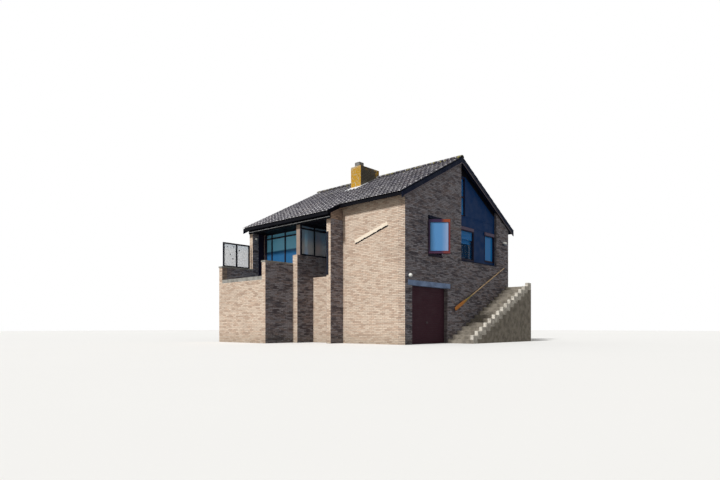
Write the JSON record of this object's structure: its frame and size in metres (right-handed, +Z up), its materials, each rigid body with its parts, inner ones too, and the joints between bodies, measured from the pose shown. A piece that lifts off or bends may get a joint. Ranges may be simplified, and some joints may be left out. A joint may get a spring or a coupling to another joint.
{
  "type": "beach house",
  "caption": "Brick beach house with a main storey over a garage, a tiled pitched roof, a clad gable bay, a covered raised terrace and a side stair with an oar as handrail.",
  "frame": {"origin": "middle of the main block's plan, at the underside of the garage floor", "axes": "+Z up, ridge along X, the gable with the garage door faces +X, the terrace front faces -Y"},
  "size_m": [9.76, 10.715, 8.2599],
  "materials": {
    "brick": "grey-brown facing brick, light mortar",
    "concrete": "weathered concrete",
    "column_stone": "pale brick column",
    "steps": "weathered concrete steps with a light kerb",
    "dark_timber": "blue-black painted boards",
    "frame_paint": "red-brown painted timber",
    "screen_paint": "dark satin paint",
    "window_pane": "clear glass",
    "roof_tile": "weathered pantiles with lichen",
    "chimney_brick": "render with orange lichen",
    "lead": "pale lead sheet",
    "flue": "grey flue box and vents",
    "door_wood": "red-brown painted boards",
    "post_steel": "painted steel channels",
    "oar_wood": "varnished oar with a yellow-orange blade",
    "sign_wood": "pale bare board",
    "lamp_white": "white opal lamp"
  },
  "bodies": {
    "house": {"front_wall": "brick", "front_wall_left": "brick", "wing_wall": "brick", "far_wing_pier": "brick", "garage_jamb": "brick", "gable_wall_lower": "brick", "gable_wall_upper": "brick", "gable_pier": "brick", "far_gable_wall": "brick", "rear_wall": "brick", "terrace_front_wall": "brick", "terrace_far_wall": "brick", "terrace_side_wall": "brick", "screen_wall": "brick", "garage_floor": "concrete", "main_floor": "concrete", "terrace_floor": "concrete", "terrace_coping": "concrete", "garage_lintel": "concrete", "terrace_column": "column_stone", "side_stair": "steps", "front_header": "dark_timber", "far_wing_panel": "dark_timber", "gable_cladding": "dark_timber", "roof_deck_front": "dark_timber", "roof_deck_rear": "dark_timber", "bargeboards": "dark_timber", "eave_boards": "dark_timber", "terrace_soffit": "dark_timber", "window_frames": "frame_paint", "front_window_frames": "frame_paint", "screen_frames": "screen_paint", "window_glass": "window_pane", "front_window_glass": "window_pane", "screen_glass": "window_pane", "roof_tiles_front": "roof_tile", "roof_tiles_rear": "roof_tile", "ridge_tiles": "roof_tile", "chimney_stack": "chimney_brick", "chimney_flashing": "lead", "flue_box": "flue", "garage_door_posts": "post_steel", "oar_handrail": "oar_wood", "sign_board": "sign_wood", "wall_lamps": "lamp_white"},
    "door_carriers": {"garage_door_carriers": "post_steel"},
    "door_leaf": {"garage_door_leaf": "door_wood"}
  },
  "joints": [
    {"name": "door_lift", "type": "slide", "parent": "house", "child": "door_carriers", "axis": [0, 0, 1], "range_m": [0, 1.072]},
    {"name": "door_tilt", "type": "hinge", "parent": "door_carriers", "child": "door_leaf", "pos_m": [4.052, -2.3875, 1.1], "axis": [0, -1, 0], "range_deg": [0, 90]}
  ],
  "couplings": [
    {"joint": "door_tilt", "follows": "door_lift", "rad_per_m": 1.4652}
  ]
}
